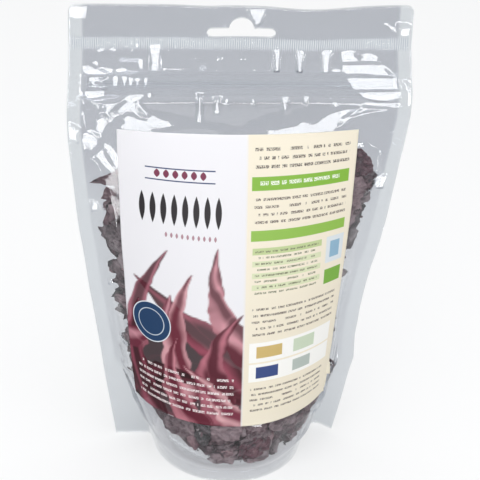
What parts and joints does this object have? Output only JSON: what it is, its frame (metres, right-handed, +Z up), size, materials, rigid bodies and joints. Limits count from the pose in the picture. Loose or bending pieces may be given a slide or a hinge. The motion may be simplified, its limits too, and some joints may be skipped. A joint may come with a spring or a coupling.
{
  "type": "stand-up pouch of dried dulse",
  "caption": "Clear stand-up zip pouch with a front label, sealed and filled with dried dulse fronds; it stands on its gusset or hangs by its hang hole.",
  "frame": {"origin": "on the floor under the middle of the base", "axes": "+Z up, the label faces -Y, +X is to the right of someone who reads the label"},
  "size_m": [0.18, 0.0938, 0.28],
  "materials": {
    "film": "clear glossy film, creased",
    "zip": "clear moulded strip",
    "label": "satin coated paper, printed",
    "dulse": "matt, dry and crumpled"
  },
  "bodies": {
    "root": {"front_panel": "film", "back_panel": "film", "bottom_gusset": "film", "zip_groove": "zip", "zip_tongue": "zip", "label": "label", "frond_01": "dulse", "frond_02": "dulse", "frond_03": "dulse", "frond_04": "dulse", "frond_05": "dulse", "frond_06": "dulse", "frond_07": "dulse", "frond_08": "dulse", "frond_09": "dulse", "frond_10": "dulse", "frond_11": "dulse", "frond_12": "dulse", "frond_13": "dulse", "frond_14": "dulse", "frond_15": "dulse", "frond_16": "dulse", "frond_17": "dulse", "frond_18": "dulse", "frond_19": "dulse", "frond_20": "dulse", "frond_21": "dulse", "frond_22": "dulse", "frond_23": "dulse", "frond_24": "dulse", "frond_25": "dulse", "frond_26": "dulse", "frond_27": "dulse", "frond_28": "dulse", "frond_29": "dulse", "frond_30": "dulse", "frond_31": "dulse", "frond_32": "dulse", "frond_33": "dulse", "frond_34": "dulse", "frond_35": "dulse", "frond_36": "dulse", "frond_37": "dulse", "frond_38": "dulse", "frond_39": "dulse", "frond_40": "dulse", "frond_41": "dulse", "frond_42": "dulse", "frond_43": "dulse", "frond_44": "dulse", "frond_45": "dulse", "frond_46": "dulse", "frond_47": "dulse", "frond_48": "dulse"}
  },
  "joints": []
}
